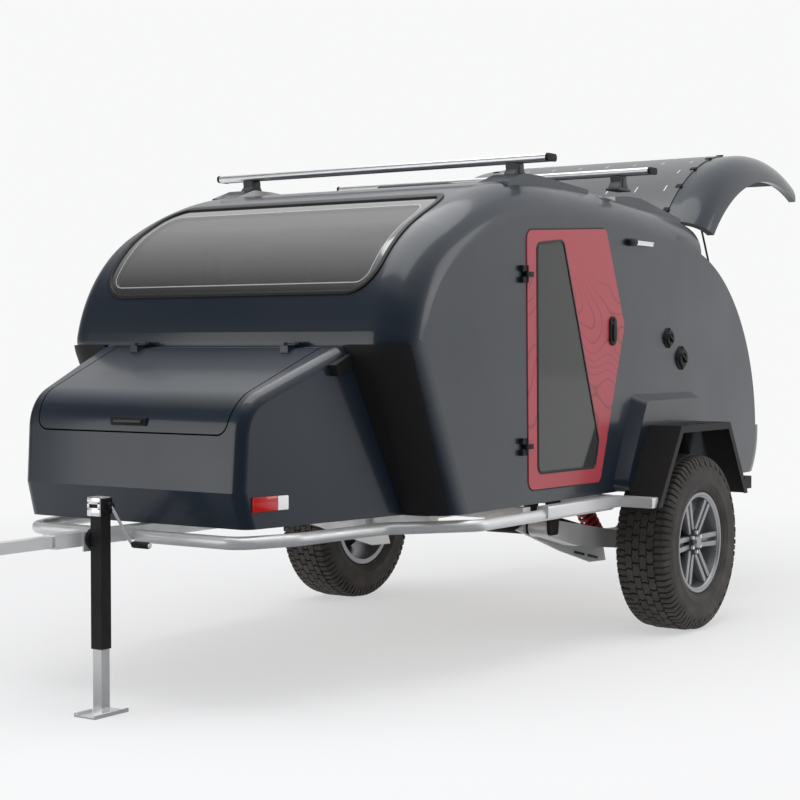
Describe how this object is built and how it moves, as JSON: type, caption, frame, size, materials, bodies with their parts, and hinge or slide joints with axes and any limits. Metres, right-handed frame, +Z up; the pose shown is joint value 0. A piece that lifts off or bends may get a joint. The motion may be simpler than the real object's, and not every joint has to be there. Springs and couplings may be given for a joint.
{
  "type": "teardrop trailer",
  "caption": "Off-road teardrop camping trailer with side doors, front storage box, roof bars, open rear galley hatch and tongue jack.",
  "frame": {"origin": "on the ground, under the middle of the whole trailer as parked with its hatch open", "axes": "+X forward to the hitch, +Y to the left side, +Z up"},
  "size_m": [5.4423, 2.166, 2.3125],
  "materials": {
    "bar_alloy": "anodised",
    "bedding": "woven cover",
    "black_steel": "satin powder coat",
    "black_trim": "satin black plastic",
    "board": "laminated birch board",
    "body_paint": "satin moulded glass fibre",
    "cell_black": "textured laminate",
    "door_paint": "satin moulded panel with a raised line pattern",
    "lamp_red": "clear lens",
    "lamp_white": "clear lens",
    "silver_steel": "bright galvanised",
    "spring_red": "gloss powder coat",
    "tinted_glass": "tinted",
    "tyre_rubber": "matt",
    "wheel_alloy": "satin grey"
  },
  "bodies": {
    "trailer": {"arch_mouldings": "body_paint", "arm_hangers": "silver_steel", "bar_feet": "black_trim", "body_wrap": "body_paint", "bulkhead": "board", "coil_springs": "spring_red", "corner_guards": "black_trim", "crossbars": "bar_alloy", "crossmembers": "silver_steel", "dampers": "black_steel", "fenders": "black_steel", "fixed_hinges": "black_steel", "floor_deck": "board", "frame_rails": "silver_steel", "front_window": "tinted_glass", "galley": "board", "hitch_yoke": "silver_steel", "marker_lamps": "lamp_red", "mattress": "bedding", "nose_box": "body_paint", "porch_lights": "lamp_white", "side_ports": "black_trim", "side_tubes": "silver_steel", "side_wall_left": "body_paint", "side_wall_right": "body_paint", "tail_lamps": "lamp_red", "tail_panel": "body_paint", "tongue": "silver_steel", "trailing_arms": "silver_steel", "vent_base": "black_trim", "wheel_tubs": "black_trim"},
    "wheel_left": {"tyre_left": "tyre_rubber", "rim_left": "wheel_alloy"},
    "wheel_right": {"tyre_right": "tyre_rubber", "rim_right": "wheel_alloy"},
    "door_left": {"door_left": "door_paint", "door_pane_left": "tinted_glass", "door_handle_left": "black_trim"},
    "door_right": {"door_right": "door_paint", "door_pane_right": "tinted_glass", "door_handle_right": "black_trim"},
    "nose_lid": {"nose_lid": "body_paint", "lid_latch": "black_trim"},
    "hatch": {"hatch_shell": "body_paint", "hatch_liner": "black_trim", "solar_panel": "cell_black"},
    "strut_barrel_left": {"strut_barrel_left": "black_steel"},
    "strut_barrel_right": {"strut_barrel_right": "black_steel"},
    "strut_rod_left": {"strut_rod_left": "silver_steel"},
    "strut_rod_right": {"strut_rod_right": "silver_steel"},
    "jack": {"jack_tube": "black_steel", "jack_head": "black_steel"},
    "jack_leg": {"jack_leg": "silver_steel"},
    "vent_lid": {"vent_lid": "black_trim"}
  },
  "joints": [
    {"name": "wheel_left_spin", "type": "hinge", "parent": "trailer", "child": "wheel_left", "pos_m": [-1.0058, 0.948, 0.405], "axis": [0, 1, 0], "continuous": true},
    {"name": "wheel_right_spin", "type": "hinge", "parent": "trailer", "child": "wheel_right", "pos_m": [-1.0058, -0.948, 0.405], "axis": [0, 1, 0], "continuous": true},
    {"name": "hatch_lift", "type": "hinge", "parent": "trailer", "child": "hatch", "pos_m": [-1.4458, 0, 1.92056], "axis": [0, -1, 0], "range_deg": [0, 64]},
    {"name": "nose_lid_lift", "type": "hinge", "parent": "trailer", "child": "nose_lid", "pos_m": [1.1772, 0, 1.315], "axis": [0, -1, 0], "range_deg": [0, 80]},
    {"name": "vent_lid_lift", "type": "hinge", "parent": "trailer", "child": "vent_lid", "pos_m": [-0.1888, 0, 2.02349], "axis": [0, 1, 0], "range_deg": [0, 60]},
    {"name": "jack_swivel", "type": "hinge", "parent": "trailer", "child": "jack", "pos_m": [1.8992, 0.078, 0.625], "axis": [0, -1, 0], "range_deg": [0, 90]},
    {"name": "jack_leg_slide", "type": "slide", "parent": "jack", "child": "jack_leg", "axis": [0, 0, 1], "range_m": [0, 0.19]},
    {"name": "door_left_swing", "type": "hinge", "parent": "trailer", "child": "door_left", "pos_m": [0.2682, 0.874, 1.2], "axis": [0, 0, -1], "range_deg": [0, 110]},
    {"name": "strut_left_swing", "type": "hinge", "parent": "trailer", "child": "strut_barrel_left", "pos_m": [-1.9058, 0.778, 1.38], "axis": [0, -1, 0], "range_deg": [-16.39, 0]},
    {"name": "strut_left_slide", "type": "slide", "parent": "strut_barrel_left", "child": "strut_rod_left", "axis": [0.4815, 0, 0.8764], "range_m": [-0.06191, 0]},
    {"name": "door_right_swing", "type": "hinge", "parent": "trailer", "child": "door_right", "pos_m": [0.2682, -0.874, 1.2], "axis": [0, 0, 1], "range_deg": [0, 110]},
    {"name": "strut_right_swing", "type": "hinge", "parent": "trailer", "child": "strut_barrel_right", "pos_m": [-1.9058, -0.778, 1.38], "axis": [0, -1, 0], "range_deg": [-16.39, 0]},
    {"name": "strut_right_slide", "type": "slide", "parent": "strut_barrel_right", "child": "strut_rod_right", "axis": [0.4815, 0, 0.8764], "range_m": [-0.06191, 0]}
  ],
  "couplings": [
    {"joint": "strut_left_swing", "follows": "hatch_lift", "ratio": -0.25105},
    {"joint": "strut_left_slide", "follows": "hatch_lift", "m_per_rad": -0.054878},
    {"joint": "strut_right_swing", "follows": "hatch_lift", "ratio": -0.25105},
    {"joint": "strut_right_slide", "follows": "hatch_lift", "m_per_rad": -0.054878}
  ]
}
